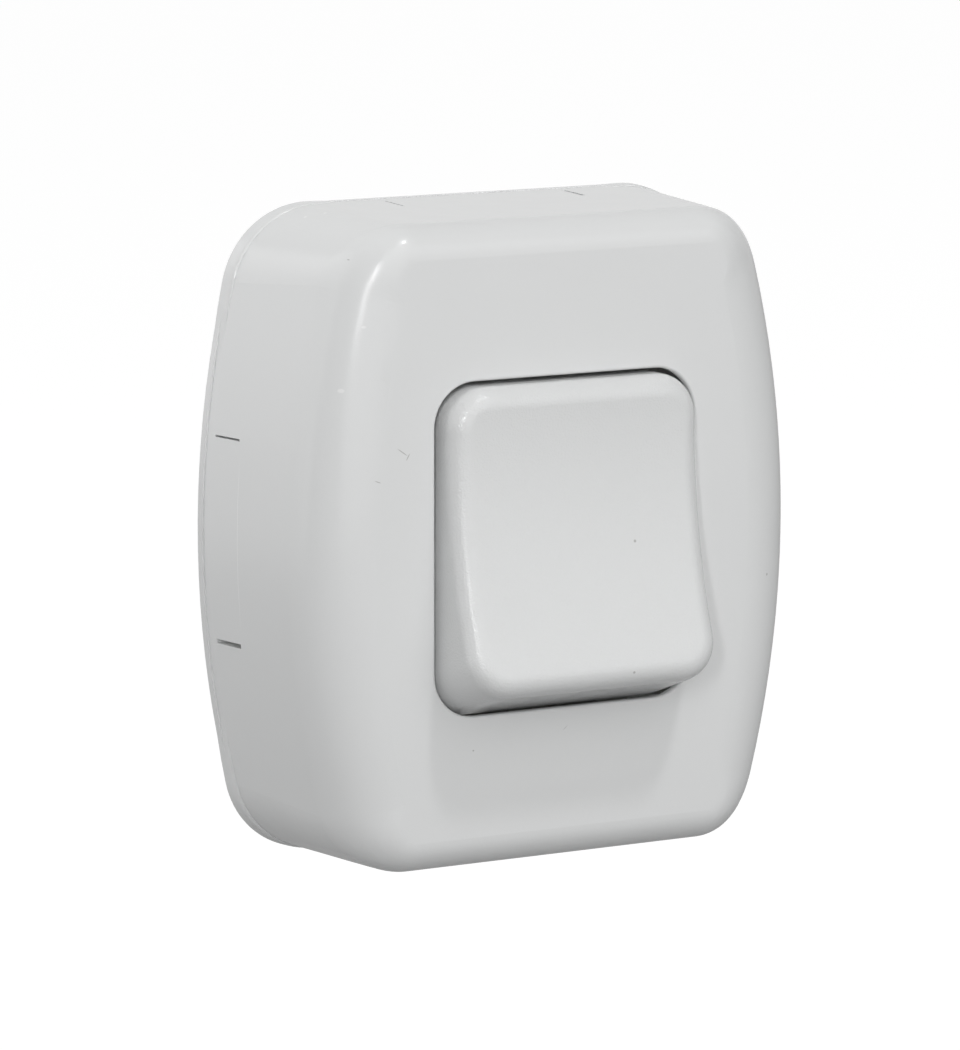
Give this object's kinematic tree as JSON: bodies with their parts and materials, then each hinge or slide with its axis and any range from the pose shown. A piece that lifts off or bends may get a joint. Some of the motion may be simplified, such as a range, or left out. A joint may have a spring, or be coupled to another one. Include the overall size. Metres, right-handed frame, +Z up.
{
  "type": "surface mounted light switch",
  "caption": "Surface-mounted two-way light switch: barrel-shaped box with one wide rocker, base plate, break-out duct panels and changeover mechanism.",
  "frame": {"origin": "centre of the back face, on the wall plane", "axes": "+Y into the wall, so the front faces -Y; +X to the right seen from the front; +Z up"},
  "size_m": [0.06, 0.028, 0.065],
  "materials": {
    "cover_plastic": "white moulded urea plastic, smooth and glossy",
    "rocker_plastic": "white moulded plastic with a very fine texture",
    "base_plastic": "white moulded plastic, plain",
    "block_plastic": "pale grey insulating moulding",
    "plunger_plastic": "natural low-friction plastic",
    "spring_steel": "drawn spring wire",
    "brass_strip": "stamped strip",
    "contact_silver": "silver contact rivet",
    "plated_steel": "zinc plated"
  },
  "bodies": {
    "housing": {"cover": "cover_plastic", "base_plate": "base_plastic", "mechanism_body": "block_plastic", "common_terminal": "brass_strip", "upper_terminal": "brass_strip", "lower_terminal": "brass_strip", "fixed_contact_upper": "contact_silver", "fixed_contact_lower": "contact_silver", "clamp_plate_common": "plated_steel", "clamp_plate_upper": "plated_steel", "clamp_plate_lower": "plated_steel", "terminal_screw_common": "plated_steel", "terminal_screw_upper": "plated_steel", "terminal_screw_lower": "plated_steel", "mechanism_screw_upper": "plated_steel", "mechanism_screw_lower": "plated_steel"},
    "rocker": {"rocker": "rocker_plastic", "plunger_spring": "spring_steel"},
    "plunger": {"plunger": "plunger_plastic"},
    "contact_lever": {"contact_lever": "brass_strip", "lever_contact_upper": "contact_silver", "lever_contact_lower": "contact_silver"}
  },
  "joints": [
    {"name": "rocker_tilt", "type": "hinge", "parent": "housing", "child": "rocker", "pos_m": [0, -0.0176, 0], "axis": [1, 0, 0], "range_deg": [0, 20]},
    {"name": "plunger_slide", "type": "slide", "parent": "rocker", "child": "plunger", "axis": [0, -0.9848, 0.1736], "range_m": [0, 0.0008], "stiffness_N_per_m": 1600, "springref_m": -0.001, "deforming": ["plunger_spring"]},
    {"name": "contact_lever_tilt", "type": "hinge", "parent": "housing", "child": "contact_lever", "pos_m": [0, -0.0086, 0], "axis": [1, 0, 0], "range_deg": [-16, 0]}
  ],
  "couplings": [
    {"joint": "contact_lever_tilt", "follows": "rocker_tilt", "ratio": -0.8}
  ]
}
